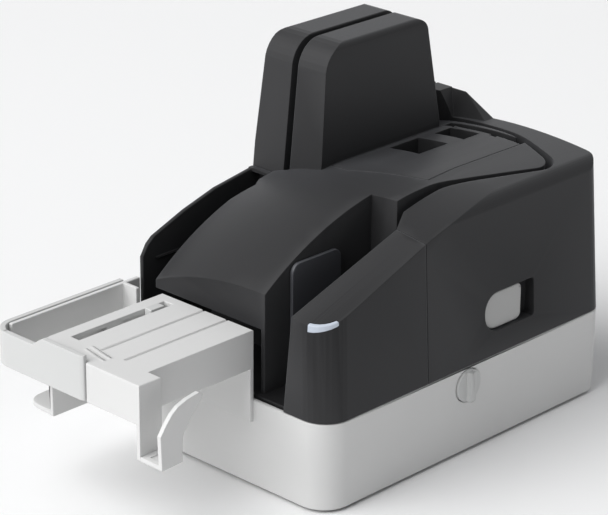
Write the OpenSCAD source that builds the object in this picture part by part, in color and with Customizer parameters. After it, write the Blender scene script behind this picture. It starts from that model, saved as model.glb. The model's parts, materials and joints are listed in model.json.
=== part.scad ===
/* [Base] */
// Width of the base shell
base_w = 141; // [139:0.5:147]
// Depth of the base shell
base_d = 212; // [210:0.5:218]
// Height of the top of the base shell
base_top = 47.5; // [46:0.1:48.5]
// Thickness of the base shell wall
base_wall = 2.4; // [2:0.1:3]
// Radius of the front corners of the base
corner_r = 15; // [13:0.5:16]
// Height of the rubber feet
foot_h = 1.5; // [1:0.1:3]
// How far the rear wall leans in at the bottom
rear_lean = 6.5; // [4:0.5:8]

/* [Paper path] */
// Height of the floor of the paper path
floor_z = 49; // [48.9:0.1:50]
// Width of the paper slot
slot_w = 4.2; // [3.6:0.1:4.6]
// Width of the entry pocket
pocket_w = 20; // [16:0.5:21]
// Distance of the right run from the right side
right_in = 10.5; // [10:0.1:11.5]
// Distance of the left run from the left side
left_in = 24; // [23.5:0.1:24.5]
// Distance of the rear run from the rear
rear_in = 13.5; // [13:0.1:14]

/* [Housings] */
// Height of the middle of the door and arm tops
door_top = 134.6; // [132:0.1:138]
// Height of the middle of the centre cover
cover_top = 135; // [133:0.1:138]
// Height of the imaging head
head_top = 193; // [186:0.5:198]
// Thickness of the housing walls
shell = 2.4; // [2:0.1:2.8]
// Gap between neighbouring housings
seam = 0.4; // [0.3:0.05:0.6]
// Y of the split between arm and door
split_y = -33; // [-36:0.5:-31]

/* [Rollers] */
// Radius of the drive shafts
shaft_r = 3; // [2.5:0.1:3.4]
// Running clearance of shafts in their bearings
run_fit = 0.05; // [0.03:0.01:0.09]
// Radius of the drive rollers
drive_r = 9; // [8:0.1:9.5]
// Radius of the pinch rollers
pinch_r = 6; // [5.5:0.1:6.3]
// Radius of the pick roller
pick_r = 11; // [10:0.1:11.3]
// Gap between a roller and the paper line
nip = 0.15; // [0.15:0.05:0.4]

/* [Tray] */
// Y of the front edge of the output tray
tray_front = -188.5; // [-196:0.5:-184]
// Height of the tray deck
deck_z = 84.7; // [83:0.1:86]
// How far the stopper slides out
stop_travel = 40; // [20:1:42]
// Height of the stopper rim
stop_rim = 83; // [82:0.1:84.5]

/* [Moving parts] */
// Travel of the open lever
lever_travel = 8; // [4:0.5:8]
// Radius of the selector knob
knob_r = 8.7; // [7:0.1:9.5]
// Radius of the hinge pins
pin_r = 1.5; // [1.2:0.1:1.8]
// Travel of the presser plate
press_travel = 10; // [6:0.5:10]

/* [Hidden] */
xr = base_w / 2;
yb = base_d / 2;
xl = -xr;
yf = -yb;
hs = slot_w / 2;
under = base_top + 0.4;
wall_top = floor_z - 0.1;
light = "#c4c6c8";
dark = "#2b2c2e";
steel = "#a9adb2";
black = "#1a1a1c";

// centre line of the paper path, each corner with its bend radius
mid_x = xr - right_in;
mid_y = yb - rear_in;
mid_l = xl + left_in;
route = [[xr - 31.5, -21, 0], [xr - 31.5, 8, 40], [mid_x, yb - 31, 12], [22, mid_y - 3.5, 60],
         [mid_l, mid_y, 15], [mid_l, -14, 40], [xl + 9.5, -60, 0]];

function heading(p, q) = atan2(q[1] - p[1], q[0] - p[0]);
function wrap(a) = a - 360 * floor((a + 180) / 360);

// points of one bend of the path, off is the distance to the outside
function bend(i, off) =
  let (a0 = heading(route[i - 1], route[i]),
       turn = wrap(heading(route[i], route[i + 1]) - a0),
       s = sign(turn),
       t = route[i][2] * tan(abs(turn) / 2),
       c = [route[i][0] - t * cos(a0) - route[i][2] * s * sin(a0),
            route[i][1] - t * sin(a0) + route[i][2] * s * cos(a0)],
       rad = s * route[i][2] + off,
       n = abs(turn) > 30 ? 10 : 4)
  [for (k = [0:n]) let (f = a0 + turn * k / n) [c[0] + rad * sin(f), c[1] - rad * cos(f)]];
function side(p, a, off) = [p[0] + off * sin(a), p[1] - off * cos(a)];
function track(off) =
  concat([side(route[0], heading(route[0], route[1]), off)],
         [for (i = [1:5]) each bend(i, off)],
         [side(route[6], heading(route[5], route[6]), off)]);

// block between two opposite corners
module box(a, b) {
  translate(a)
    cube([b[0] - a[0], b[1] - a[1], b[2] - a[2]]);
}

// round bar along Z, from z0 to z1
module post(x, y, r, z0, z1) {
  translate([x, y, z0])
    cylinder(h = z1 - z0, r = r, $fn = 64);
}

// round bar along X, from x0 to x1
module bar_x(x0, x1, y, z, r) {
  translate([x0, y, z])
    rotate([0, 90, 0])
      cylinder(h = x1 - x0, r = r, $fn = 64);
}

// round bar along Y, from y0 to y1
module bar_y(y0, y1, x, z, r) {
  translate([x, y1, z])
    rotate([90, 0, 0])
      cylinder(h = y1 - y0, r = r, $fn = 64);
}

// upright prism over a list of points
module prism(pts, z0, z1) {
  translate([0, 0, z0])
    linear_extrude(z1 - z0)
      polygon(pts);
}

// flat plate in the YZ plane from x0 to x1
module plate_x(pts, x0, x1) {
  translate([x0, 0, 0])
    rotate([90, 0, 90])
      linear_extrude(x1 - x0)
        polygon(pts);
}

// points of a rectangle with rounded corners, front and rear radii
function quarter(cx, cy, r, a) =
  [for (k = [0:8]) [cx + r * cos(a + k * 11.25), cy + r * sin(a + k * 11.25)]];
function rrect(x0, x1, y0, y1, rf, rb) =
  concat(quarter(x1 - rb, y1 - rb, rb, 0), quarter(x0 + rb, y1 - rb, rb, 90),
         quarter(x0 + rf, y0 + rf, rf, 180), quarter(x1 - rf, y0 + rf, rf, 270));

// outline with a round front end and small radii at its back
function dee(y0, y1, z0, z1, r0, r1) =
  concat(quarter(y1 - r1, z1 - r1, r1, 0), quarter(y0 + r0, z1 - r0, r0, 90),
         quarter(y0 + r0, z0 + r0, r0, 180), quarter(y1 - r1, z0 + r1, r1, 270));

// point at distance d along leg i of the path, moved off to the outside
function at(i, d, off) =
  let (a = heading(route[i], route[i + 1]))
  [route[i][0] + d * cos(a) + off * sin(a), route[i][1] + d * sin(a) - off * cos(a)];

feed_r = 10;
retard_r = 8;
small_r = 4;
feed_at = at(0, 13, -feed_r - nip);
retard_at = at(0, 13, retard_r + nip);
right_at = at(1, 33.5, -drive_r - nip);
right_pinch_at = at(1, 33.5, pinch_r + nip);
rear_at = at(3, 27, -drive_r - nip);
rear_pinch_at = at(3, 27, small_r + nip);
left_at = at(4, 22.5, -drive_r - nip);
left_pinch_at = at(4, 22.5, pinch_r + nip);
exit_at = at(4, 94.5, -drive_r - nip);
exit_pinch_at = at(4, 94.5, pinch_r + nip);
pick_at = [xr - 17.5, -62];
motor_at = [-4, -16];
drives = [feed_at, right_at, rear_at, left_at, exit_at];
pinches = [retard_at, right_pinch_at, rear_pinch_at, left_pinch_at, exit_pinch_at];
pinch_rs = [retard_r, pinch_r, small_r, pinch_r, pinch_r];
bore_r = shaft_r + run_fit;
deck_bottom = wall_top - 4;
plate_z = 98;
plate_t = 3;
pulley_r = 6;
pulley_z = 31;
door_floor = wall_top + 0.4;

// height of the leaning rear wall and its place at a height
function rear_y(z) = yb - rear_lean * (1 - (z - foot_h) / (base_top - foot_h));

// solid of the base with its walls moved in by d
module base_block(d, z0, z1) {
  intersection() {
    prism(rrect(xl + d, xr - d, yf + d, yb - d, corner_r - d, 10 - d), z0, z1);
    plate_x([[yf, z0], [rear_y(z0) - d, z0], [rear_y(z1) - d, z1], [yf, z1]], xl - 1, xr + 1);
  }
}

plate_top = foot_h + 2.4;
knob_at = [-2.4, 37.4];
boss_pts = [[xr - 14, yf + 14], [xl + 14, yf + 14], [xr - 14, yb - 22], [xl + 14, yb - 22]];
rack_pts = [[-44, 32], [44, 32], [-44, 82], [44, 82]];
dc_x = 42;
usb_x = 24;

module base_shell() {
  color(light) {
    difference() {
      base_block(0, foot_h, base_top);
      base_block(base_wall, foot_h - 0.02, base_top + 0.02);
      // hole for the selector knob
      bar_x(xr - 5, xr + 1, knob_at[0], knob_at[1], knob_r + 0.3);
      // slots for the tray hooks
      for (x = [-34, 8])
        box([x - 4.3, yf - 1, 38.7], [x + 4.3, yf + 4, 42.3]);
      // openings in the rear wall
      box([dc_x - 6.3, 90, 11.3], [dc_x + 6.3, yb + 1, 25.3]);
      box([usb_x - 6.3, 90, 11.3], [usb_x + 6.3, yb + 1, 24.3]);
      box([-50.3, 90, 13.7], [-37.7, yb + 1, 33.3]);
      // vent slots low in the rear wall
      for (k = [0:5])
        box([-28 + k * 6, 90, 12], [-25 + k * 6, yb + 1, 32]);
    }
    // screw bosses under the path deck
    for (p = boss_pts)
      difference() {
        union() {
          post(p[0], p[1], 5, plate_top, deck_bottom);
          box([min(p[0], sign(p[0]) * (xr - 1)), p[1] - 1.2, plate_top + 2],
              [max(p[0], sign(p[0]) * (xr - 1)), p[1] + 1.2, deck_bottom]);
        }
        post(p[0], p[1], 1.5, plate_top - 1, plate_top + 14);
      }
    // bearing of the selector knob
    difference() {
      union() {
        box([xr - 12, knob_at[0] - 13, knob_at[1] - 6], [xr - 9, knob_at[0] + 13, knob_at[1] + 6]);
        for (y = [-13, 11])
          box([xr - 12, knob_at[0] + y, knob_at[1] - 6], [xr - 1, knob_at[0] + y + 2, knob_at[1] + 6]);
      }
      bar_x(xr - 13, xr - 8, knob_at[0], knob_at[1], bore_r);
    }
  }
}

module bottom_plate() {
  color(black)
    difference() {
      union() {
        prism(rrect(xl + base_wall + 0.2, xr - base_wall - 0.2, yf + base_wall + 0.2,
                    rear_y(foot_h) - base_wall - 0.2, corner_r - 3, 7), foot_h, plate_top);
        for (p = rack_pts)
          post(p[0], p[1], 3.5, plate_top, 10);
      }
      for (p = boss_pts)
        post(p[0], p[1], 1.7, foot_h - 1, plate_top + 1);
      // vent slots
      for (k = [0:6])
        box([-30 + k * 9, -70, foot_h - 1], [-27 + k * 9, -45, plate_top + 1]);
    }
}

module rubber_feet() {
  color(black)
    for (p = boss_pts)
      difference() {
        post(p[0] - sign(p[0]) * 3, p[1] * 0.84, 7, 0, foot_h);
        post(p[0] - sign(p[0]) * 3, p[1] * 0.84, 2.5, -1, 0.7);
      }
  // plain foot under the middle of the plate
  color(black)
    post(0, 0, 7, 0, foot_h);
}

module plate_screws() {
  color(steel)
    for (p = boss_pts) {
      post(p[0], p[1], 3, foot_h - 1.1, foot_h);
      post(p[0], p[1], 1.5, foot_h, plate_top + 9);
    }
}

deck_pts = rrect(xl + 2.9, xr - 2.9, yf + 3, yb - 2.8, corner_r - 3, 8);

module path_deck() {
  color(black)
    difference() {
      union() {
        prism(deck_pts, deck_bottom, wall_top);
        // bearing sleeves under the deck
        for (p = concat(drives, [pick_at]))
          post(p[0], p[1], 5.5, deck_bottom - 1.2, deck_bottom);
      }
      for (p = concat(drives, [pick_at]))
        post(p[0], p[1], bore_r, deck_bottom - 3, wall_top + 1);
      // blind bearings of the pinch rollers in the scan housing
      for (k = [3, 4])
        post(pinches[k][0], pinches[k][1], 2 + run_fit, deck_bottom + 1, wall_top + 1);
      // cable hole
      box([2, 40, deck_bottom - 1], [16, 50, wall_top + 1]);
    }
}

plate_off = -hs - 2.8 - 0.3;
plate_pts = concat([[xr - 31.5 + plate_off, -18.5]], [for (i = [1:4]) each bend(i, plate_off)],
                   [[mid_l - plate_off, -12]]);
post_pts = [[-20, 2], [22, 6], [27.5, 68.5], [-24, 76]];

module bearing_plate() {
  color(steel)
    difference() {
      prism(plate_pts, plate_z, plate_z + plate_t);
      for (p = drives)
        post(p[0], p[1], bore_r, plate_z - 1, plate_z + plate_t + 1);
      // opening for wires and room for the inner sensor
      box([-12, 16, plate_z - 1], [3, 44, plate_z + plate_t + 1]);
      box([xl, 18.4, plate_z - 1], [mid_l + 14.1, 31.6, plate_z + plate_t + 1]);
      for (k = [0:3])
        post(post_pts[k][0], post_pts[k][1], 1.6, plate_z - 1, plate_z + plate_t + 1);
    }
}

module plate_posts() {
  color(steel)
    for (k = [0:3]) {
      post(post_pts[k][0], post_pts[k][1], 3.5, wall_top, plate_z);
      post(post_pts[k][0], post_pts[k][1], 1.6, plate_z, plate_z + plate_t);
      post(post_pts[k][0], post_pts[k][1], 3, plate_z + plate_t, plate_z + plate_t + 1.6);
    }
}

// drive shaft with its pulley under the deck
module drive_shaft(p) {
  color(steel) {
    post(p[0], p[1], shaft_r, 29, plate_z + plate_t + 0.8);
    difference() {
      union() {
        post(p[0], p[1], pulley_r, pulley_z, pulley_z + 6);
        post(p[0], p[1], pulley_r + 1.6, pulley_z - 1, pulley_z);
        post(p[0], p[1], pulley_r + 1.6, pulley_z + 6, pulley_z + 7);
      }
      for (k = [0:11])
        translate([p[0], p[1], 0])
          rotate(k * 30)
            box([pulley_r - 0.6, -0.7, pulley_z + 0.5], [pulley_r + 1, 0.7, pulley_z + 5.5]);
    }
    // collar that carries the shaft on the deck
    difference() {
      post(p[0], p[1], shaft_r + 1.2, wall_top + 0.3, wall_top + 2);
      post(p[0], p[1], shaft_r, wall_top, wall_top + 3);
    }
  }
}

// two rubber tyres on a shaft, with a groove between them
module tyres(p, r, z0, z1) {
  color(black)
    difference() {
      post(p[0], p[1], r, z0, z1);
      post(p[0], p[1], shaft_r, z0 - 1, z1 + 1);
      difference() {
        post(p[0], p[1], r + 1, (z0 + z1) / 2 - 4, (z0 + z1) / 2 + 4);
        post(p[0], p[1], shaft_r + 2, (z0 + z1) / 2 - 5, (z0 + z1) / 2 + 5);
      }
    }
}

// pinch roller on its own thin axle
module pinch(p, r, z0, z1, a0, a1) {
  color("#55585c") {
    post(p[0], p[1], 2, a0, a1);
    difference() {
      post(p[0], p[1], r, z0, z1);
      post(p[0], p[1], 2, z0 - 1, z1 + 1);
      difference() {
        post(p[0], p[1], r + 1, (z0 + z1) / 2 - 4, (z0 + z1) / 2 + 4);
        post(p[0], p[1], 2.8, (z0 + z1) / 2 - 5, (z0 + z1) / 2 + 5);
      }
    }
  }
}

tyre_z0 = 55;
tyre_z1 = 92;
module feed_shaft() { drive_shaft(feed_at); }
module right_shaft() { drive_shaft(right_at); }
module rear_shaft() { drive_shaft(rear_at); }
module left_shaft() { drive_shaft(left_at); }
module exit_shaft() { drive_shaft(exit_at); }
module feed_roller() { tyres(feed_at, feed_r, tyre_z0, tyre_z1); }
module right_roller() { tyres(right_at, drive_r, tyre_z0, tyre_z1); }
module rear_roller() { tyres(rear_at, drive_r, tyre_z0, 77); }
module left_roller() { tyres(left_at, drive_r, tyre_z0, tyre_z1); }
module exit_roller() { tyres(exit_at, drive_r, tyre_z0, tyre_z1); }
module pick_roller() { tyres(pick_at, pick_r, 57, 89); }
module retard_roller() { pinch(retard_at, retard_r, tyre_z0, tyre_z1, 52.3, 96.7); }
module right_pinch() { pinch(right_pinch_at, pinch_r, tyre_z0, tyre_z1, 52.3, 96.7); }
module rear_pinch() { pinch(rear_pinch_at, small_r, 56, 76, 52.3, 79.7); }
module left_pinch() { pinch(left_pinch_at, pinch_r, tyre_z0, tyre_z1, deck_bottom + 1.3, 96.7); }
module exit_pinch() { pinch(exit_pinch_at, pinch_r, tyre_z0, tyre_z1, deck_bottom + 1.3, 96.7); }

module pick_shaft() {
  color(steel) {
    post(pick_at[0], pick_at[1], shaft_r, 29, 101.5);
    post(pick_at[0], pick_at[1], pulley_r + 1.6, pulley_z, pulley_z + 6);
    difference() {
      post(pick_at[0], pick_at[1], shaft_r + 2, wall_top + 0.3, wall_top + 2);
      post(pick_at[0], pick_at[1], shaft_r, wall_top, wall_top + 3);
    }
  }
}

// closed loop round the corners of a convex ring of pulleys
ring = [motor_at, feed_at, right_at, rear_at, left_at, exit_at];
function loop_pts(r) =
  [for (i = [0:5])
    let (a0 = heading(ring[(i + 5) % 6], ring[i]),
         turn = wrap(heading(ring[i], ring[(i + 1) % 6]) - a0))
    for (k = [0:6])
      let (f = a0 + turn * k / 6)
      [ring[i][0] + r * sin(f), ring[i][1] - r * cos(f)]];

module drive_belt() {
  color(black)
    difference() {
      prism(loop_pts(pulley_r + 1.4), pulley_z + 0.8, pulley_z + 5.2);
      prism(loop_pts(pulley_r + 0.35), pulley_z, pulley_z + 6);
    }
}

module motor() {
  color("#8d9095")
    difference() {
      union() {
        post(motor_at[0], motor_at[1], 17, plate_top, 27);
        box([motor_at[0] - 22, motor_at[1] - 5, plate_top],
            [motor_at[0] + 22, motor_at[1] + 5, plate_top + 2.5]);
        post(motor_at[0], motor_at[1], 8, 27, 28.5);
      }
      post(motor_at[0], motor_at[1], 2.5 + run_fit, 16, 29);
    }
}

module motor_pulley() {
  color(steel) {
    post(motor_at[0], motor_at[1], 2.5, 17, 40);
    difference() {
      union() {
        post(motor_at[0], motor_at[1], pulley_r, pulley_z, pulley_z + 6);
        post(motor_at[0], motor_at[1], pulley_r + 1.6, pulley_z - 1, pulley_z);
        post(motor_at[0], motor_at[1], pulley_r + 1.6, pulley_z + 6, pulley_z + 7);
      }
      post(motor_at[0], motor_at[1], 2.5, pulley_z - 2, pulley_z + 8);
    }
  }
}

module main_board() {
  color("#2f5d3a")
    difference() {
      box([-49, 26, 10], [50, 88, 11.6]);
      for (p = rack_pts)
        post(p[0], p[1], 1.6, 9, 12);
    }
  color(black) {
    box([-20, 45, 11.6], [2, 67, 14]);
    box([14, 40, 11.6], [28, 54, 13.6]);
    box([-46, 50, 11.6], [-38, 70, 19]);
    for (k = [0:2])
      post(42, 45 + k * 12, 4, 11.6, 22);
  }
}

module power_socket() {
  color(black)
    difference() {
      box([dc_x - 6, 84, 11.6], [dc_x + 6, rear_y(20) + 0.4, 25]);
      bar_y(91, yb, dc_x, 19, 4);
    }
  color(steel)
    bar_y(90, rear_y(19) - 1.5, dc_x, 19, 1);
}

module data_socket() {
  color(steel)
    difference() {
      box([usb_x - 6, 84, 11.6], [usb_x + 6, rear_y(20) + 0.4, 24]);
      box([usb_x - 4.8, 88, 13.2], [usb_x + 4.8, yb, 22.8]);
    }
  color(black)
    box([usb_x - 2.5, 87, 16], [usb_x + 2.5, rear_y(18) - 2, 20]);
}

switch_y = rear_y(23.5);
module switch_frame() {
  color(black)
    difference() {
      union() {
        box([-50, switch_y - 14, 14], [-38, switch_y - 0.4, 33]);
        box([-50, switch_y - 14, plate_top], [-38, switch_y - 11, 14]);
      }
      box([-48.4, switch_y - 12, 15.6], [-39.6, switch_y + 1, 31.4]);
      bar_x(-49.4, -38.6, switch_y - 5, 23.5, 1.2 + run_fit);
    }
}

module power_switch() {
  color("#3a3b3e")
    difference() {
      union() {
        plate_x([[switch_y - 4.5, 16.2], [switch_y - 0.2, 16.2], [switch_y - 1.4, 23.5],
                 [switch_y + 1.4, 29.8], [switch_y - 4.5, 29.8]], -48, -40);
        bar_x(-49.2, -38.8, switch_y - 5, 23.5, 1.2);
      }
      box([-60, switch_y - 20, 0], [-30, switch_y - 9, 60]);
    }
}

module selector_knob() {
  color("#d4d6d8") {
    bar_x(xr - 2.2, xr + 0.8, knob_at[0], knob_at[1], knob_r);
    intersection() {
      bar_x(xr + 0.8, xr + 3.6, knob_at[0], knob_at[1], knob_r - 0.6);
      box([xr, knob_at[0] - 2, 0], [xr + 4, knob_at[0] + 2, 90]);
    }
    bar_x(xr - 14, xr - 2.2, knob_at[0], knob_at[1], shaft_r);
    // retaining ring behind the bearing
    bar_x(xr - 14, xr - 12.4, knob_at[0], knob_at[1], shaft_r + 1.5);
  }
}

// everything under a crowned top that curves down at y0 into a slope towards the front
module hood(zt, x0, rc, ry, y0, slope, d) {
  module section() {
    intersection() {
      translate([xl - 5, 30 - zt])
        square([base_w + 10, zt]);
      translate([x0, -rc])
        circle(rc - d, $fn = 240);
    }
  }
  translate([0, yb + 10, zt])
    rotate([90, 0, 0])
      linear_extrude(yb + 10 - y0)
        section();
  translate([0, y0, zt - ry]) {
    rotate([0, 90, 0])
      rotate([0, 0, 180])
        rotate_extrude(angle = slope, $fn = 240)
          intersection() {
            translate([ry - 98, xl - 5])
              square([103, base_w + 10]);
            translate([ry - rc, x0])
              circle(rc - d, $fn = 240);
          }
    rotate([slope, 0, 0])
      translate([0, 0, ry])
        rotate([90, 0, 0])
          linear_extrude(150)
            section();
  }
}
module door_hood(d) { hood(door_top, 16, 320, 190, 27, 19.5, d); }
module cover_hood(d) { hood(cover_top, 16, 220, 175, 5, 45, d); }

// drafted outline of the dark housings with its walls moved in by d
module envelope(d) {
  hull() {
    prism(rrect(xl + d, xr - d, yf + d, yb - d, corner_r - d, 10 - d), under - (d > 0 ? 1 : 0), under + 0.1);
    prism(rrect(xl + d, xr - 5.4 - d, yf + 3.5 + d, yb - 3.5 - d, corner_r - d, 10 - d), 150, 150.01);
  }
}

// shoulder that rounds the top of the right side
module shoulder(d) {
  translate([0, yb + 5, 0])
    rotate([90, 0, 0])
      linear_extrude(base_d + 10)
        polygon(concat([[xl - 5, under - 9], [xr + 1, under - 9], [xr + 1, door_top - 10.9]],
                       [for (k = [0:8]) let (a = k * 10)
                         [xr - 11.9 + (8 - d) * cos(a), door_top - 10.9 + (8 - d) * sin(a)]],
                       [[xr - 22, 160], [xl - 5, 160]]));
}

// room kept free over the path deck
module deck_room(z) {
  prism(rrect(xl + 2.6, xr - 2.6, yf + 2.7, yb - 2.5, corner_r - 2.6, 8.3), under - 10, z);
}

// region inside the loop of the path
function inner_pts(off) =
  concat([[xr - 23 + off - hs, yf - 20], [xr - 23 + off - hs, split_y]], track(off),
         [[xl + 9.5 - off, yf - 20]]);

arm_in = xr - 28.2;
module arm_solid(d) {
  intersection() {
    envelope(d);
    door_hood(d);
    // inner face leans away from the pocket
    translate([0, split_y - d, 0])
      rotate([90, 0, 0])
        linear_extrude(yb)
          polygon([[arm_in + d - 0.6, under - 9], [arm_in + d + 6.3, 140], [xr + 5, 140],
                   [xr + 5, under - 9]]);
  }
}

// strip along the front edge of the arm top that turns round the corner
function lens_low(y) = door_top - 17.3 + (y + 36.4) * tan(19.5);
module lens_zone(c) {
  difference() {
    plate_x([[yf - 2, lens_low(yf - 2) - c], [yf + 12 + c, lens_low(yf + 12 + c) - c], [yf + 12 + c, 125],
             [yf - 2, 125]], xr - 14.5 - c, xr + 2);
    prism(rrect(xl, xr - 4.3 - c, yf + 3.4 + c, yb, 13.3, 8), 80, 126);
  }
}

module arm_housing() {
  color(dark)
    difference() {
      union() {
        difference() {
          arm_solid(0);
          arm_solid(shell);
        }
        // shelf that holds the top of the pick shaft
        intersection() {
          arm_solid(1);
          box([arm_in, pick_at[1] - 12, 95], [xr, pick_at[1] + 12, 98]);
        }
        // screw bosses standing on the deck
        for (y = [-90, -44])
          post(xr - 7.5, y, 3.5, wall_top, 90);
      }
      deck_room(wall_top);
      post(pick_at[0], pick_at[1], bore_r, 90, 100);
      // window for the pick roller
      box([arm_in - 4, pick_at[1] - 10.2, 55.5], [pick_at[0], pick_at[1] + 10.2, 90.5]);
      lens_zone(0.15);
      // window for the door bolt
      box([bolt_x - 1.4, split_y - shell - 1, 66.6], [bolt_x + 4, split_y + 1, 75.4]);
    }
}

module status_lens() {
  color("#b9c9dc")
    intersection() {
      difference() {
        arm_solid(0);
        arm_solid(shell);
      }
      lens_zone(0);
    }
}

hinge_at = [xl + 13.5, yb - 4];
knuckles = [[60, 72], [112, 124]];
door_end = xl + 24.1;
scan_end = door_end - 1.4;

// raised cover over the rear left corner, its right part leans down to the slot
hump_top = door_top + 10;
module hump(d) {
  difference() {
    translate([0, yb + 5, 0])
      rotate([90, 0, 0])
        linear_extrude(40)
          polygon([[xl - 5, under], [xl - 5, hump_top - d], [-27 - d / 3, hump_top - d],
                   [-3 - d, door_top - 3 - d], [-3 - d, under]]);
    intersection() {
      plate_x([[yb - 33, hump_top - 48 - 1.9 * d], [yb - 3, hump_top - 1.9 * d], [yb - 3, 170],
               [yb - 33, 170]], -45, 5);
      translate([0, yb + 5, 0])
        rotate([90, 0, 0])
          linear_extrude(60)
            polygon([[-27 - d, 90], [-27 - d, door_top - 4], [-37 - d, hump_top + 1], [-37 - d, 170],
                     [5, 170], [5, 90]]);
    }
  }
}
module door_solid(d) {
  difference() {
    intersection() {
      envelope(d);
      shoulder(d);
      union() {
        door_hood(d);
        hump(d);
      }
      box([door_end + d, split_y + seam + d, under - 2], [xr + 5, yb + 5, 160]);
    }
    prism(inner_pts(hs + d), under - 3, 161);
  }
}

bolt_x = xr - 13.2;
bolt_z = 71;

module transport_cover() {
  color(dark)
    difference() {
      union() {
        difference() {
          door_solid(0);
          door_solid(shell);
        }
        // pan behind the lever recess
        intersection() {
          door_solid(0);
          box([xr - 9.3, 7, 57], [xr + 1, 52, 85.5]);
        }
        // ears of the pinch rollers
        difference() {
          union() {
            for (k = [0, 1])
              for (z = [50.2, 94])
                post(pinches[k][0], pinches[k][1], 5, z, z + 3);
            for (z = [50.2, 77.5])
              post(rear_pinch_at[0], rear_pinch_at[1], 5, z, z + 3);
          }
          prism(inner_pts(hs), 45, 110);
        }
        // hinge knuckles
        for (k = knuckles) {
          post(hinge_at[0], hinge_at[1], 3.6, k[0], k[1]);
          box([hinge_at[0], hinge_at[1] - 3, k[0]], [door_end + 1, hinge_at[1] + 1, k[1]]);
        }
        // stop for the lever spring
        box([bolt_x - 3, split_y + 12, 77.5], [xr - 3, split_y + 15, 82.5]);
      }
      deck_room(door_floor);
      // recess and slot of the open lever
      plate_x(dee(10.4, 48.4, 60.3, 81, 9.8, 2), xr - 6.9, xr + 3);
      box([xr - 10, 12, 68], [xr - 6, 20.6 + lever_travel, 74]);
      // room for the rollers and their axles
      for (k = [0:2]) {
        post(pinches[k][0], pinches[k][1], pinch_rs[k] + 0.5, 54, k == 2 ? 77 : 93);
        post(pinches[k][0], pinches[k][1], 2 + run_fit, 50, 100);
      }
      // window for the bolt
      box([bolt_x - 1.4, split_y - 1, 66.6], [bolt_x + 1.4, split_y + seam + shell + 1, 75.4]);
      for (k = knuckles)
        post(hinge_at[0], hinge_at[1], pin_r + run_fit, k[0] - 1, k[1] + 1);
    }
}

module door_pin() {
  color(steel)
    post(hinge_at[0], hinge_at[1], pin_r, 54, 130);
}

module open_lever() {
  color("#d4d6d8") {
    plate_x(dee(10.9, 39.8, 60.8, 80.5, 9.3, 3.5), xr - 6.5, xr - 2.4);
    box([bolt_x + 1, 12.4, 68.4], [xr - 6.5, 20.2, 73.6]);
  }
}

module latch_bolt() {
  color(steel) {
    box([bolt_x - 1, split_y - 2, bolt_z - 4], [bolt_x + 1, 20.2, bolt_z + 4]);
    // tab for the spring
    box([bolt_x - 1, 4, bolt_z + 4], [bolt_x + 1, 7, bolt_z + 12]);
  }
}

module lever_spring() {
  color(steel) {
    for (k = [0:10])
      translate([bolt_x + 1.2, split_y + 16.4 + k * 1.8, 80])
        rotate([90, 0, 0])
          rotate_extrude($fn = 48)
            translate([1.9, 0])
              circle(0.45, $fn = 16);
    box([bolt_x + 2.8, split_y + 15, 79.7], [bolt_x + 3.4, split_y + 34.9, 80.3]);
  }
}

// outline of the imaging head in side view
function arc_yz(y, z, r, a0, a1) =
  [for (k = [0:8]) let (a = a0 + (a1 - a0) * k / 8) [y + r * cos(a), z + r * sin(a)]];
function head_pts(d) =
  concat([[-14.4 + d, 118 + d], [-8 + d, head_top - 16]], arc_yz(8, head_top - 16, 16 - d, 180, 90),
         arc_yz(yb - 44, head_top - 8, 8 - d, 90, 0), [[yb - 28.5 - d, 135], [yb - 28.5 - d, 118 + d]]);

// one upright slab of the head, x at its foot and its top, radius of its left and right top edges
module slab(x0, x1, t0, t1, ra, rb, d) {
  intersection() {
    plate_x(head_pts(d), xl - 1, 0);
    translate([0, yb, 0])
      rotate([90, 0, 0])
        linear_extrude(base_d)
          polygon(concat([[x0 + d, 134], [x0 + d, 110], [x1 - d, 110], [x1 - d, 134]],
                         quarter(t1 - rb, head_top - rb, max(rb - d, 0.3), 0),
                         quarter(t0 + ra, head_top - ra, max(ra - d, 0.3), 90)));
  }
}

scan_front = -12;
module scan_block(d) {
  difference() {
    intersection() {
      prism(concat(quarter(xl + 10, yb - 10, 10 - d, 90),
                   [[xl + d, scan_front + d], [scan_end - d, scan_front + d], [scan_end - d, yb - d]]),
            under - (d > 0 ? 1 : 0), hump_top - d);
      plate_x([[-60, 40], [yb - d, 40], [yb - d, under], [yb - 3.5 - d, 150], [-60, 150]], xl - 1, 0);
    }
    // the slab stands on the lower part
    box([xl - 1, scan_front - 1, d > 0 ? 122 : 118], [mid_l, yb - 28.5 + d, 160]);
  }
}

module scan_outer(d) {
  difference() {
    scan_block(d);
    prism(inner_pts(hs + d), under - 3, 161);
  }
  slab(xl, mid_l - hs, xl + 3, mid_l - hs, 3.2, 0.8, d);
}

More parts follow.
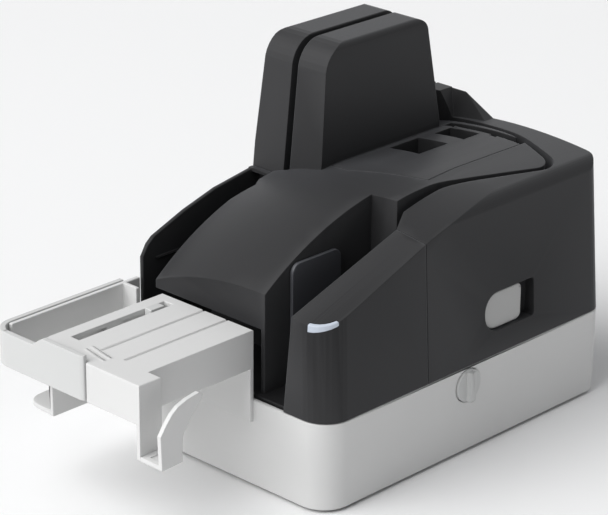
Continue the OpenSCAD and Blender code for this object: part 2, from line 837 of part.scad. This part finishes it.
module scan_housing() {
  color(dark)
    difference() {
      union() {
        difference() {
          scan_outer(0);
          scan_outer(shell);
        }
        // bosses that hold the hinge pin
        for (z = [[wall_top, 59.6], [72.4, 111.6], [124.4, 132]])
          post(hinge_at[0], hinge_at[1], 3, z[0], z[1]);
        for (z = [[52, 59.6], [76, 80], [104, 108], [124.4, 132]])
          box([hinge_at[0] - 1, hinge_at[1], z[0]], [hinge_at[0] + 1, hinge_at[1] + 2.4, z[1]]);
        // upper ears of the pinch rollers
        difference() {
          for (k = [3, 4])
            post(pinches[k][0], pinches[k][1], 5, 94, 97);
          prism(inner_pts(hs), 45, 110);
        }
      }
      deck_room(wall_top);
      for (k = [3, 4]) {
        post(pinches[k][0], pinches[k][1], 2.5, 40, 55);
        post(pinches[k][0], pinches[k][1], pinch_r + 0.5, 54, 93);
        post(pinches[k][0], pinches[k][1], 2 + run_fit, 92, 100);
      }
      post(hinge_at[0], hinge_at[1], pin_r, 54, 130);
      // rooms for the knuckles of the door
      for (k = knuckles)
        box([hinge_at[0] - 4.6, hinge_at[1] - 6, k[0] - 0.4], [scan_end + 1, yb + 5, k[1] + 0.4]);
      // window of the outer sensor
      box([mid_l - hs - shell - 0.1, 35, 51], [mid_l - hs + 1, 41, 176]);
    }
}

cover_l = xl + 16;
nose_y = -98.7;
nose_z = 82;
pocket_x = arm_in + 0.2 - pocket_w;
function cover_pts(d, y) =
  concat([[cover_l + d, y + d], [pocket_x - d, y + d], [pocket_x - d, -24]],
         [side(route[0], heading(route[0], route[1]), -hs - d)], [for (i = [1:4]) each bend(i, -hs - d)],
         [[mid_l + hs + d, -14.8 - d], [cover_l + d, -14.8 - d]]);
function exit_pts(d) =
  concat([[xl - 9, -5], [mid_l + hs + d, -5]], bend(5, -hs - d),
         [side(route[6], heading(route[5], route[6]), -hs - d)], [[xl - 9, -75]]);

module cover_solid(d) {
  intersection() {
    cover_hood(d);
    union() {
      prism(cover_pts(d, nose_y), nose_z + d, 150);
      prism(cover_pts(d, -60), under - 2, nose_z + d + 1);
    }
  }
  slab(mid_l + hs, xl + 48, mid_l + hs, xl + 45, 0.8, 3.2, d);
}

lid_pts = [[-21, -6.5], [-6.6, -8.4], [31.9, 6.8], [30, 29.3], [30.6, 75], [30.6, 80], [-21, 80]];
lid_y = 81.2;
lid_z = 130.4;
function spread(pts, e) = [for (p = pts) [p[0] + e * sign(p[0] - 4), p[1] + e * sign(p[1] - 38)]];

module cover_shell() {
  difference() {
    cover_solid(0);
    difference() {
      cover_solid(shell);
      prism(exit_pts(shell), under - 3, 122.9);
    }
    // opening under the lid
    prism(concat(spread([for (k = [0:4]) lid_pts[k]], seam),
                 [[31, lid_y + 4.4], [-21.4, lid_y + 4.4]]), 120, 145);
    // way out of the path
    prism(exit_pts(0), under - 3, 120.5);
    // room for the drive rollers
    post(feed_at[0], feed_at[1], feed_r + 0.6, 53, 94);
    for (p = [right_at, left_at, exit_at])
      post(p[0], p[1], drive_r + 0.6, 53, 94);
    post(rear_at[0], rear_at[1], drive_r + 0.6, 53, 79);
    // windows of the sensor, the magnetic head and the ink nozzle
    box([mid_l + hs - 1, 22, 51], [mid_l + hs + shell + 0.1, 28, 176]);
    head_place()
      box([-6, -4.4, 48], [3, 4.4, 62.4]);
    box([xr - 27.5, 36.5, 104.5], [xr - 20, 43.5, 111.5]);
    // bushing hole of the presser stem
    bar_x(pocket_x - 5, pocket_x + 1, press_at[0], press_at[1], 2.5 + run_fit);
  }
}

module center_cover() {
  color(dark)
    difference() {
      union() {
        cover_shell();
        // wall between the nose and the entry pocket
        intersection() {
          cover_hood(0);
          box([pocket_x - shell, nose_y, wall_top], [pocket_x, -58, nose_z + 1]);
        }
        // ears of the lid hinge
        for (x = [-15, 11.4]) {
          bar_x(x, x + 3.6, lid_y, lid_z, 2.3);
          box([x, lid_y - 2.3, lid_z - 5], [x + 3.6, lid_y + 5.9, lid_z]);
        }
        // rests under the lid
        for (y = [0, 60]) {
          box([-24, y, 126], [-21.6, y + 8, 130.5]);
          box([-24, y, 126], [-18, y + 8, 129]);
        }
        for (y = [26, 66]) {
          box([31.4, y, 128], [34.2, y + 8, 133]);
          box([27.6, y, 128], [34.2, y + 8, 131.8]);
        }
        // screw bosses standing on the deck
        intersection() {
          cover_hood(1);
          for (p = [[8, -56], [-30, -50]])
            post(p[0], p[1], 3.5, wall_top, 130);
        }
      }
      deck_room(wall_top);
      for (x = [-15, 11.4])
        bar_x(x - 1, x + 5, lid_y, lid_z, pin_r);
    }
}

press_at = [-66, 91];
module head_place() {
  translate(concat(at(1, 10.5, -hs), [0]))
    rotate(heading(route[1], route[2]) - 90)
      children();
}

module magnetic_head() {
  color(steel)
    head_place() {
      box([-9, -4, wall_top], [-1.5, 4, 62]);
      translate([-4, 0, 53])
        cylinder(h = 8, r = 3.9, $fn = 64);
    }
}

module inner_sensor() {
  color("#4a4d52")
    difference() {
      box([mid_l + hs + shell + 0.1, 19, wall_top], [mid_l + 13.5, 31, 177]);
      box([mid_l + hs + shell + 0.05, 24, 52], [mid_l + hs + shell + 1.5, 26, 175]);
    }
}

module outer_sensor() {
  color("#4a4d52")
    difference() {
      box([mid_l - 13.5, 32, wall_top], [mid_l - hs - shell - 0.1, 44, 177]);
      box([mid_l - hs - shell - 1.5, 37, 52], [mid_l - hs - shell, 39, 175]);
    }
}

module sensor_glasses() {
  color("#9fb8c0") {
    box([mid_l + hs, 22, 51], [mid_l + hs + shell, 28, 176]);
    box([mid_l - hs - shell, 35, 51], [mid_l - hs, 41, 176]);
  }
}

// two finger wells of the lid
module wells(e, z0) {
  box([-16.6 - e, 31.6 - e, z0 - e], [4 + e, 53.8 + e, 140]);
  box([-14.6 - e, 64.5 - e, z0 + 2 - e], [-1.7 + e, 77 + e, 140]);
}

module cartridge_lid() {
  color(dark)
    difference() {
      union() {
        difference() {
          intersection() {
            cover_hood(0);
            prism(lid_pts, 120, 140);
          }
          cover_hood(shell);
        }
        intersection() {
          cover_hood(0.2);
          wells(1.6, 123);
        }
        // knuckle of the hinge
        bar_x(-11, 11, lid_y, lid_z, 2.3);
        box([-11, lid_y - 2.6, lid_z], [11, lid_y, lid_z + 2.6]);
      }
      wells(0, 123);
      // ramp beside the rear well
      translate([0, 77, 0])
        rotate([90, 0, 0])
          linear_extrude(12.5)
            polygon([[-2.5, 140], [-2.5, 129.5], [6.5, 135.3], [6.5, 140]]);
      bar_x(-12, 12, lid_y, lid_z, pin_r + run_fit);
      for (x = [-15.4, 11.1])
        box([x, 78.4, 120], [x + 4.3, 85, 140]);
    }
}

module lid_pin() {
  color(steel)
    bar_x(-15, 15, lid_y, lid_z, pin_r);
}

module cartridge_cradle() {
  color(black)
    difference() {
      box([5.8, 17, plate_z + plate_t], [33.4, 63, 109]);
      box([7.6, 19, plate_z + plate_t + 1.6], [31.6, 61, 110]);
      box([30, 34, plate_z + plate_t + 1.6], [35, 46, 110]);
    }
}

module ink_cartridge() {
  color("#3f4a63") {
    box([8, 20, plate_z + plate_t + 1.6], [31, 60, 125]);
    box([31, 36, 105], [xr - 27.6, 44, 111]);
    box([14, 30, 125], [25, 50, 127]);
  }
}

module presser_plate() {
  color("#55585c") {
    plate_x(rrect(-82, -48, 52, 112, 5, 5), pocket_x + 0.4, pocket_x + 2.4);
    bar_x(pocket_x - 12 - press_travel, pocket_x + 0.4, press_at[0], press_at[1], 2.5);
    bar_x(pocket_x - 14 - press_travel, pocket_x - 12 - press_travel, press_at[0], press_at[1], 5);
  }
}

module presser_spring() {
  color(steel) {
    for (k = [0:4])
      translate([pocket_x - shell - 0.6 - k * 1.7, press_at[0], press_at[1]])
        rotate([0, 90, 0])
          rotate_extrude($fn = 48)
            translate([3.7, 0])
              circle(0.5, $fn = 16);
    box([pocket_x - shell - 7.5, press_at[0] + 3.4, press_at[1] - 0.4],
        [pocket_x - shell, press_at[0] + 4, press_at[1] + 0.4]);
  }
}

// dark ribbed fence beside the exit pocket
fence_top = [[scan_front, 117.4], [-14.8, 117.4], [-14.8, 121.2], [-43.7, 116.7], [-66, 110.4],
             [-86.7, 102.7], [-91.7, 98.7], [-95, 93.3]];
module exit_fence() {
  color(dark) {
    plate_x(concat([[-95, under + 8], [-90, under], [scan_front, under]], fence_top), xl + 0.2, xl + 2.7);
    // thin ribs along the inner side
    for (z = [62, 76, 90])
      box([xl + 2.7, -86, z], [xl + 3.5, scan_front, z + 1]);
    // cap at the rear end
    box([xl + 0.2, -18, 119.4], [cover_l - 1, -14.8, 121.2]);
  }
}

deck_l = xl + 28.8;
deck_r = 22;
leg_x = 28;
claw_x = arm_in + 0.7;
tray_back = yf - 0.01;
seam_x = -7;
slot_x = [deck_l + 7.7, deck_l + 13.7];
claw_pts = [[0, 46.4], [12.9, 47], [12.9, 56.3], [13.4, 60.4], [17.9, 67.1], [25.5, 75.3], [26, 77.4],
            [23.8, 78.7], [16.3, 77.6], [10.4, 75.7], [6.4, 72.8], [2.8, 68.7], [-0.7, 63.8]];

module output_tray() {
  color(light)
    difference() {
      union() {
        // deck with its skirt
        difference() {
          union() {
            box([deck_l, tray_front + 1.9, 64.2], [deck_r, tray_back, deck_z]);
            box([seam_x + 0.5, tray_front, 64.2], [leg_x + 1, tray_front + 14, deck_z]);
          }
          box([deck_l + 2.4, tray_front + 4.3, 60], [deck_r - 2.4, tray_back - 2.4, deck_z - 2.4]);
          box([seam_x + 2.9, tray_front + 2.4, 60], [leg_x - 1, tray_front + 11.6, deck_z - 2.4]);
        }
        // trough beside the deck
        box([deck_l - 0.2, tray_front + 7.5, 43], [deck_l + 2.2, tray_back, deck_z]);
        prism(concat(quarter(xl + 10.5 + 9, tray_front + 16.5, 9, 180),
                     [[deck_l + 2, tray_front + 7.5], [deck_l + 2, tray_back], [xl + 10.5, tray_back]]),
              43.5, 46);
        // back plate that hooks into the base
        box([xl, tray_back - 2.4, 50], [xl + 12, tray_back, 83]);
        box([xl + 11, tray_back - 2.4, 36], [deck_r, tray_back, 66]);
        for (x = [-34, 8])
          box([x - 4, tray_back - 1, 39], [x + 4, yf + 3.6, 42]);
        for (x = [-34, 8])
          box([x - 4, yf + 2.6, 37], [x + 4, yf + 3.6, 42]);
        // white ledge on the far left
        box([xl, tray_front + 7.5, 64], [xl + 2.4, tray_back + 9, 83]);
        // leg down to the entry channel
        box([leg_x, tray_front, 46.3], [leg_x + 2.5, tray_front + 14, deck_z]);
        // small ribs on the deck
        for (y = [0, 4])
          translate([-9.6, tray_front + 9 + y, 0])
            rotate(-10.5)
              box([-8.2, -0.5, deck_z - 0.5], [8.2, 0.5, deck_z + 0.6]);
        // guide under the deck for the stopper runner
        for (x = [slot_x[0] - 2, slot_x[1]])
          box([x, -150, 73], [x + 2, -140, deck_z - 2]);
        box([slot_x[0] - 2, -150, 72], [slot_x[1] + 2, -140, 74]);
      }
      // slot of the stopper runner in the deck and in the front wall
      box([slot_x[0], -173, 70], [slot_x[1], yf - 6, 90]);
      box([slot_x[0] - 0.1, tray_front + 1, 75.4], [slot_x[1] + 0.1, tray_front + 6, 80.6]);
      // grooves along the deck
      for (x = [-12, 4.2])
        box([x - 0.6, -173, deck_z - 0.7], [x + 0.6, tray_back + 1, deck_z + 1]);
    }
}

module entry_rest() {
  color(light) {
    difference() {
      box([leg_x + 2.5, tray_front, 46.3], [claw_x + 1.2, tray_front + 12.9, 48.6]);
      box([leg_x + 6, tray_front + 3, 48], [claw_x - 3, tray_front + 10, 50]);
    }
    translate([0, tray_front, 0])
      plate_x(claw_pts, claw_x, claw_x + 2.4);
  }
}

stop_l = xl - 4;
stop_front = tray_front - 1.5;
runner_end = tray_front + 31.5 + stop_travel;
module tray_stopper() {
  color("#d0d2d4")
    difference() {
      union() {
        difference() {
          // outer L with a rounded near corner
          prism(concat(quarter(stop_l + 12, stop_front + 12, 12, 180), [[seam_x - 2, stop_front]],
                       [[seam_x, stop_front + 1], [seam_x, stop_front + 3], [stop_l + 12, stop_front + 3]],
                       [for (k = [0:8]) let (a = 270 - k * 11.25)
                         [stop_l + 12 + 9 * cos(a), stop_front + 12 + 9 * sin(a)]],
                       [[stop_l + 3, yf + 6], [stop_l, yf + 6]]), 65, 88);
          // lower rim on the left with a slope up to the raised end
          translate([0, stop_front + 8, 0])
            rotate([90, 0, 0])
              linear_extrude(20)
                polygon([[stop_l - 1, stop_rim], [xl + 27.5, stop_rim], [xl + 34.5, 88], [xl + 34.5, 100],
                         [stop_l - 1, 100]]);
          box([stop_l - 1, stop_front + 3.5, stop_rim], [stop_l + 14, yf + 7, 100]);
        }
        // floor of the trough that slides with it
        box([stop_l + 2, stop_front + 14, 65], [xl - 0.3, yf + 6, 66.6]);
        // runner under the deck with its thumb knob
        box([slot_x[0] + 0.4, stop_front + 2.6, 75.8], [slot_x[1] - 0.4, runner_end, 80.2]);
        box([slot_x[0] + 0.6, runner_end - 9, 79], [slot_x[1] - 0.6, runner_end, deck_z + 0.8]);
      }
      // soft end of the outer wall
      box([stop_l - 1, yf + 1, 78], [stop_l + 4, yf + 7, 90]);
    }
}

base_shell();
bottom_plate();
rubber_feet();
plate_screws();
path_deck();
bearing_plate();
plate_posts();
feed_shaft();
right_shaft();
rear_shaft();
left_shaft();
exit_shaft();
pick_shaft();
feed_roller();
right_roller();
rear_roller();
left_roller();
exit_roller();
pick_roller();
retard_roller();
right_pinch();
rear_pinch();
left_pinch();
exit_pinch();
drive_belt();
motor();
motor_pulley();
main_board();
power_socket();
data_socket();
switch_frame();
power_switch();
selector_knob();
arm_housing();
status_lens();
transport_cover();
door_pin();
open_lever();
latch_bolt();
lever_spring();
scan_housing();
center_cover();
magnetic_head();
inner_sensor();
outer_sensor();
sensor_glasses();
cartridge_lid();
lid_pin();
cartridge_cradle();
ink_cartridge();
presser_plate();
presser_spring();
exit_fence();
output_tray();
entry_rest();
tray_stopper();
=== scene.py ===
import math
import bmesh
import bpy
from mathutils import Matrix, Vector
from mathutils.bvhtree import BVHTree
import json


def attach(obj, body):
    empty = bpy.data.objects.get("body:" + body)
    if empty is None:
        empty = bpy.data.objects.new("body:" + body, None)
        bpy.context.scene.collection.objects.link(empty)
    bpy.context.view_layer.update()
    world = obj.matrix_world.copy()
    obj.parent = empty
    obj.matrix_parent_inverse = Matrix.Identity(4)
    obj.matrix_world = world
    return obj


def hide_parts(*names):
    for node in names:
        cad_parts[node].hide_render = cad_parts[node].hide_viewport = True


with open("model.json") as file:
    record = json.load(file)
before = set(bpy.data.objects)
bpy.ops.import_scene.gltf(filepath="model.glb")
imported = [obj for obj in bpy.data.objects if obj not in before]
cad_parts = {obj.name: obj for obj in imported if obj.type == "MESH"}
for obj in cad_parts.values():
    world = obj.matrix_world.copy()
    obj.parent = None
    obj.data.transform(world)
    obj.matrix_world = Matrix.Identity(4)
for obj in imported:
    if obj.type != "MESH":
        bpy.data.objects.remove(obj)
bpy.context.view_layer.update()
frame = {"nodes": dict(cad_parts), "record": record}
nodes = frame["nodes"]
node_slot = {part["node"]: part["material_slot"] for part in frame["record"]["subparts"]}
body_of = {node: body for body, held in frame["record"]["behaviour"]["bodies"].items() for node in held}
scene = bpy.context.scene
scene.view_settings.view_transform = "Standard"

# Camera, solved from the photograph: place in metres, angles in degrees, the photograph's width and
# focal length in pixels, the sensor in millimetres
CAMERA_PLACE = (0.86270, -0.94447, 0.60665)
CAMERA_AZIMUTH = 43.918
CAMERA_ELEVATION = 22.189
CAMERA_ROLL = 0.442
PHOTO_WIDTH = 608
PHOTO_FOCAL = 2698
SENSOR_WIDTH = 36
VIEW_DEPTH = 50

# Colour drift: noise per metre, and the stretch of the noise over which the colour changes
DRIFT_SCALE = 14.0
DRIFT_DETAIL = 3.0
DRIFT_FROM = 0.3
DRIFT_TO = 0.7

# Edge wear and painted edge highlight: the pointiness at which they start and are full, and how much
# lighter the edge colour is
WEAR_AND_HIGHLIGHT_FROM = 0.52
WEAR_AND_HIGHLIGHT_TO = 0.60
WEAR_AND_HIGHLIGHT_GAIN = 2.2
WEAR_AND_HIGHLIGHT_LIFT = 0.02

# Grain of moulded plastic: the height of its bumps in metres, and how far it moves the roughness
GRAIN_DETAIL = 2.0
GRAIN_HEIGHT = 0.00012
GRAIN_ROUGHNESS = 0.06
SOFT_EDGE_SAMPLES = 6

# Widths in metres of the edges that are rounded in the mesh of a piece that replaces its node
ROUNDED_EDGES = {
    "exit_fence": 0.0006,
    "output_tray": 0.0006,
    "tray_stopper": 0.00035,
    "base_shell": 0.0008,
    "open_lever": 0.0008,
    "status_lens": 0.0003,
    "presser_plate": 0.0004,
    "selector_knob": 0.0003,
}

# How they are rounded: the least angle in degrees, the reach in metres within which corners are joined,
# and the share of an edge's width by which a vertex may leave the node's surface
EDGE_SEGMENTS = 3
EDGE_ANGLE = 32
WELD_DISTANCE = 1e-6
STRAY_SHARE = 0.75

# Studio: metres, watts and degrees
FLOOR_HALF = 6
FLOOR_WHITE = (0.95, 0.95, 0.95, 1)
FLOOR_ROUGHNESS = 0.9
SKY_COLOUR = (0.80, 0.81, 0.83, 1)
SKY_STRENGTH = 0.34
BACKDROP_WHITE = (1, 1, 1, 1)
BACKDROP_STRENGTH = 1.0
LAMP_WATTS = 4
SUN_STRENGTH = 2.5
SUN_ANGLE = 60
SUN_DIRECTION = (0.32, 0.85, -0.85)


# Materials
def add_node(tree, kind, **values):
    """A new node with its inputs set. An underscore in an input's name stands for a space."""
    made = tree.nodes.new(kind)
    for name, value in values.items():
        made.inputs[name.replace("_", " ")].default_value = value
    return made


def tinted(rgb, gain, lift=0.0):
    """A colour made lighter or darker, with an alpha of one."""
    return tuple(min(1, channel * gain + lift) for channel in rgb) + (1,)


def drifting_colour(tree, place, rgb, vary):
    """A colour that drifts slowly about rgb, by the share vary to each side."""
    noise = add_node(tree, "ShaderNodeTexNoise", Scale=DRIFT_SCALE, Detail=DRIFT_DETAIL)
    tree.links.new(place, noise.inputs["Vector"])
    ramp = add_node(tree, "ShaderNodeValToRGB")
    darker, lighter = ramp.color_ramp.elements
    darker.position = DRIFT_FROM
    darker.color = tinted(rgb, 1 - vary)
    lighter.position = DRIFT_TO
    lighter.color = tinted(rgb, 1 + vary)
    tree.links.new(noise.outputs["Fac"], ramp.inputs["Fac"])
    return ramp.outputs["Color"]


def worn_and_highlit_edges(tree, colour, rgb, wear_and_highlight):
    """The colour, lightened by the given share where the shape has an outward edge: edge wear together
    with a painted edge highlight.
    """
    # Painted edge highlight together with edge wear: lighter colour where the pointiness marks an outward
    # edge
    geometry = add_node(tree, "ShaderNodeNewGeometry")
    amount = add_node(tree, "ShaderNodeMapRange", From_Min=WEAR_AND_HIGHLIGHT_FROM, From_Max=WEAR_AND_HIGHLIGHT_TO, To_Max=wear_and_highlight)
    tree.links.new(geometry.outputs["Pointiness"], amount.inputs["Value"])
    mix = add_node(tree, "ShaderNodeMixRGB", Color2=tinted(rgb, WEAR_AND_HIGHLIGHT_GAIN, WEAR_AND_HIGHLIGHT_LIFT))
    tree.links.new(amount.outputs["Result"], mix.inputs["Fac"])
    tree.links.new(colour, mix.inputs["Color1"])
    return mix.outputs["Color"]


def plastic(name, rgb, rough, grain=900.0, bump=0.25, vary=0.06, spec=0.5, edge=0.0, soft=0.0004):
    """Moulded plastic: fine grain, slow colour drift, soft edges and, where edge is set, lighter outward
    edges for wear and a painted edge highlight.
    """
    material = bpy.data.materials.new(name)
    material.use_nodes = True
    tree = material.node_tree
    shader = tree.nodes["Principled BSDF"]
    shader.inputs["Specular IOR Level"].default_value = spec
    place = add_node(tree, "ShaderNodeTexCoord").outputs["Object"]
    colour = drifting_colour(tree, place, rgb, vary)
    if edge:
        colour = worn_and_highlit_edges(tree, colour, rgb, edge)
    tree.links.new(colour, shader.inputs["Base Color"])
    noise = add_node(tree, "ShaderNodeTexNoise", Scale=grain, Detail=GRAIN_DETAIL)
    tree.links.new(place, noise.inputs["Vector"])
    relief = add_node(tree, "ShaderNodeBump", Strength=bump, Distance=GRAIN_HEIGHT)
    tree.links.new(noise.outputs["Fac"], relief.inputs["Height"])
    rounding = add_node(tree, "ShaderNodeBevel", Radius=soft)
    rounding.samples = SOFT_EDGE_SAMPLES
    tree.links.new(rounding.outputs["Normal"], relief.inputs["Normal"])
    tree.links.new(relief.outputs["Normal"], shader.inputs["Normal"])
    gloss = add_node(tree, "ShaderNodeMapRange",
                     To_Min=rough - GRAIN_ROUGHNESS, To_Max=rough + GRAIN_ROUGHNESS)
    tree.links.new(noise.outputs["Fac"], gloss.inputs["Value"])
    tree.links.new(gloss.outputs["Result"], shader.inputs["Roughness"])
    return material


def metal(name, rgb, rough):
    """Turned metal: the same surface with coarser, shallower grain."""
    material = plastic(name, rgb, rough, grain=400.0, bump=0.12, vary=0.05)
    material.node_tree.nodes["Principled BSDF"].inputs["Metallic"].default_value = 1.0
    return material


def dark_housing():
    """Dark plastic whose fine grain catches a cool sheen at a low angle."""
    # Its outward edges are lightened: edge wear together with a painted edge highlight
    material = plastic("dark_housing", (0.0240, 0.0240, 0.0250), 0.44, grain=1500, bump=0.30, vary=0.06,
                       spec=0.10, edge=0.35, soft=0.0007)
    shader = material.node_tree.nodes["Principled BSDF"]
    shader.inputs["Sheen Weight"].default_value = 0.20
    shader.inputs["Sheen Roughness"].default_value = 0.40
    shader.inputs["Sheen Tint"].default_value = (0.90, 0.93, 1.0, 1)
    return material


DARK = dark_housing()
BLACK = plastic("black_inner", (0.008, 0.008, 0.009), 0.5)
LIGHT = plastic("light_housing", (0.66, 0.66, 0.655), 0.45, grain=1300, bump=0.18, vary=0.02, soft=0.0006)
TRIM = plastic("light_trim", (0.58, 0.585, 0.58), 0.42, grain=1300, bump=0.14, vary=0.02, soft=0.0006)
LEVER = plastic("lever_satin", (0.42, 0.42, 0.415), 0.36, grain=1100, bump=0.16, vary=0.03, soft=0.0005)
LENS = plastic("frosted_lens", (0.50, 0.55, 0.63), 0.20, grain=500, bump=0.05, vary=0.03)
RUBBER = plastic("soft_rubber", (0.02, 0.02, 0.02), 0.75, grain=600, bump=0.4)
STEEL = metal("turned_steel", (0.55, 0.56, 0.58), 0.3)
GREY = plastic("grey_inner", (0.06, 0.062, 0.07), 0.5)
BOARD = plastic("green_board", (0.02, 0.12, 0.05), 0.35, grain=300, bump=0.3, vary=0.15)
INK = plastic("ink_case", (0.05, 0.07, 0.13), 0.3)
GLASS = plastic("scan_glass", (0.25, 0.32, 0.35), 0.06, grain=50, bump=0.01, vary=0.01)

SLOT_MATERIAL = {
    "light_plastic": LIGHT,
    "trim_plastic": TRIM,
    "dark_plastic": DARK,
    "black_plastic": BLACK,
    "lens_plastic": LENS,
    "rubber": RUBBER,
    "steel": STEEL,
    "motor_steel": STEEL,
    "board": BOARD,
    "glass": GLASS,
    "sensor_body": GREY,
    "ink_case": INK,
}
for name, ob in nodes.items():
    ob.data.materials.clear()
    ob.data.materials.append(SLOT_MATERIAL[node_slot[name]])


# Pieces that replace a node: its own faces with edges that are really rounded
def welded_copy(node):
    """A copy of a node's mesh with its corners joined, and its surface to measure from."""
    mesh = nodes[node].data.copy()
    work = bmesh.new()
    work.from_mesh(mesh)
    bmesh.ops.remove_doubles(work, verts=work.verts, dist=WELD_DISTANCE)
    surface = BVHTree.FromBMesh(work)
    work.to_mesh(mesh)
    work.free()
    return mesh, surface


def rounded(ob, width):
    """The object's mesh after a bevel along its sharp edges."""
    bevel = ob.modifiers.new("edge", "BEVEL")
    bevel.width = width
    bevel.segments = EDGE_SEGMENTS
    bevel.limit_method = "ANGLE"
    bevel.angle_limit = math.radians(EDGE_ANGLE)
    bevel.use_clamp_overlap = False
    mesh = bpy.data.meshes.new_from_object(ob.evaluated_get(bpy.context.evaluated_depsgraph_get()))
    ob.modifiers.clear()
    return mesh


def smooth_and_snap(mesh, surface, width):
    """Smooth faces, with every vertex that the bevel threw off the surface back on it."""
    work = bmesh.new()
    work.from_mesh(mesh)
    for vertex in work.verts:
        nearest, _, _, gap = surface.find_nearest(vertex.co)
        if gap > STRAY_SHARE * width:
            vertex.co = nearest
    for face in work.faces:
        face.smooth = True
    work.to_mesh(mesh)
    work.free()


def skin(node, width, material):
    """The piece that stands for a node, on the node's body."""
    mesh, surface = welded_copy(node)
    ob = bpy.data.objects.new(node + "_skin", mesh)
    scene.collection.objects.link(ob)
    ob.data = rounded(ob, width)
    smooth_and_snap(ob.data, surface, width)
    ob.data.materials.clear()
    ob.data.materials.append(material)
    shading = ob.modifiers.new("normals", "WEIGHTED_NORMAL")
    shading.keep_sharp = True
    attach(ob, body_of[node])
    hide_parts(node)


OWN_MATERIAL = {"open_lever": LEVER}
for node, width in ROUNDED_EDGES.items():
    skin(node, width, OWN_MATERIAL.get(node, SLOT_MATERIAL[node_slot[node]]))


# Camera
def camera_axes(azimuth, elevation, roll):
    """The camera's right, up and forward directions, for angles in radians."""
    forward = Vector((-math.sin(azimuth) * math.cos(elevation), math.cos(azimuth) * math.cos(elevation),
                      -math.sin(elevation)))
    level = forward.cross(Vector((0, 0, 1))).normalized()
    upright = level.cross(forward)
    right = level * math.cos(roll) + upright * math.sin(roll)
    up = upright * math.cos(roll) - level * math.sin(roll)
    return right, up, forward


right, up, forward = camera_axes(*map(math.radians, (CAMERA_AZIMUTH, CAMERA_ELEVATION, CAMERA_ROLL)))
camera = bpy.data.objects.new("camera", bpy.data.cameras.new("camera"))
scene.collection.objects.link(camera)
camera_turn = Matrix((right, up, -forward)).transposed().to_4x4()
camera.matrix_world = Matrix.Translation(CAMERA_PLACE) @ camera_turn
camera.data.sensor_fit = "HORIZONTAL"
camera.data.sensor_width = SENSOR_WIDTH
camera.data.lens = PHOTO_FOCAL / PHOTO_WIDTH * SENSOR_WIDTH
camera.data.clip_end = VIEW_DEPTH
scene.camera = camera

# Floor
floor_mesh = bpy.data.meshes.new("floor")
floor_corners = [(x * FLOOR_HALF, y * FLOOR_HALF, 0) for x, y in ((-1, -1), (1, -1), (1, 1), (-1, 1))]
floor_mesh.from_pydata(floor_corners, [], [(0, 1, 2, 3)])
floor = bpy.data.objects.new("floor", floor_mesh)
scene.collection.objects.link(floor)
floor_material = bpy.data.materials.new("floor_white")
floor_material.use_nodes = True
floor_shader = floor_material.node_tree.nodes["Principled BSDF"]
floor_shader.inputs["Base Color"].default_value = FLOOR_WHITE
floor_shader.inputs["Roughness"].default_value = FLOOR_ROUGHNESS
floor_mesh.materials.append(floor_material)


# World: a pale sky that lights the object, and plain white for the camera, glass and gloss
def highest(tree, first, second):
    """The higher of two values."""
    made = add_node(tree, "ShaderNodeMath")
    made.operation = "MAXIMUM"
    tree.links.new(first, made.inputs[0])
    tree.links.new(second, made.inputs[1])
    return made.outputs[0]


world = bpy.data.worlds.new("studio")
scene.world = world
world.use_nodes = True
world_tree = world.node_tree
sky = world_tree.nodes["Background"]
sky.inputs["Color"].default_value = SKY_COLOUR
sky.inputs["Strength"].default_value = SKY_STRENGTH
backdrop = add_node(world_tree, "ShaderNodeBackground", Color=BACKDROP_WHITE, Strength=BACKDROP_STRENGTH)
ray = add_node(world_tree, "ShaderNodeLightPath").outputs
seen = highest(world_tree, ray["Is Camera Ray"], ray["Is Transmission Ray"])
seen = highest(world_tree, seen, ray["Is Glossy Ray"])
choice = add_node(world_tree, "ShaderNodeMixShader")
world_tree.links.new(seen, choice.inputs["Fac"])
world_tree.links.new(sky.outputs[0], choice.inputs[1])
world_tree.links.new(backdrop.outputs[0], choice.inputs[2])
world_tree.links.new(choice.outputs[0], world_tree.nodes["World Output"].inputs["Surface"])


# Lights
def aimed(direction):
    """The rotation that turns a light along a direction."""
    return Vector(direction).to_track_quat("-Z", "Y").to_euler()


def lamp(name, place, target, size):
    """A soft rectangular lamp that faces the target."""
    light = bpy.data.lights.new(name, "AREA")
    light.shape = "RECTANGLE"
    light.size, light.size_y = size
    light.energy = LAMP_WATTS
    ob = bpy.data.objects.new(name, light)
    ob.location = place
    ob.rotation_euler = aimed(Vector(target) - Vector(place))
    scene.collection.objects.link(ob)


lamp("top_soft", (-0.3, -0.5, 1.6), (0, 0, 0.1), (1.2, 1.2))
lamp("front_soft", (-0.4, -1.8, 0.9), (0, -0.05, 0.08), (1.2, 1.0))
sun = bpy.data.objects.new("sky_soft", bpy.data.lights.new("sky_soft", "SUN"))
sun.data.energy = SUN_STRENGTH
sun.data.angle = math.radians(SUN_ANGLE)
sun.rotation_euler = aimed(SUN_DIRECTION)
scene.collection.objects.link(sun)
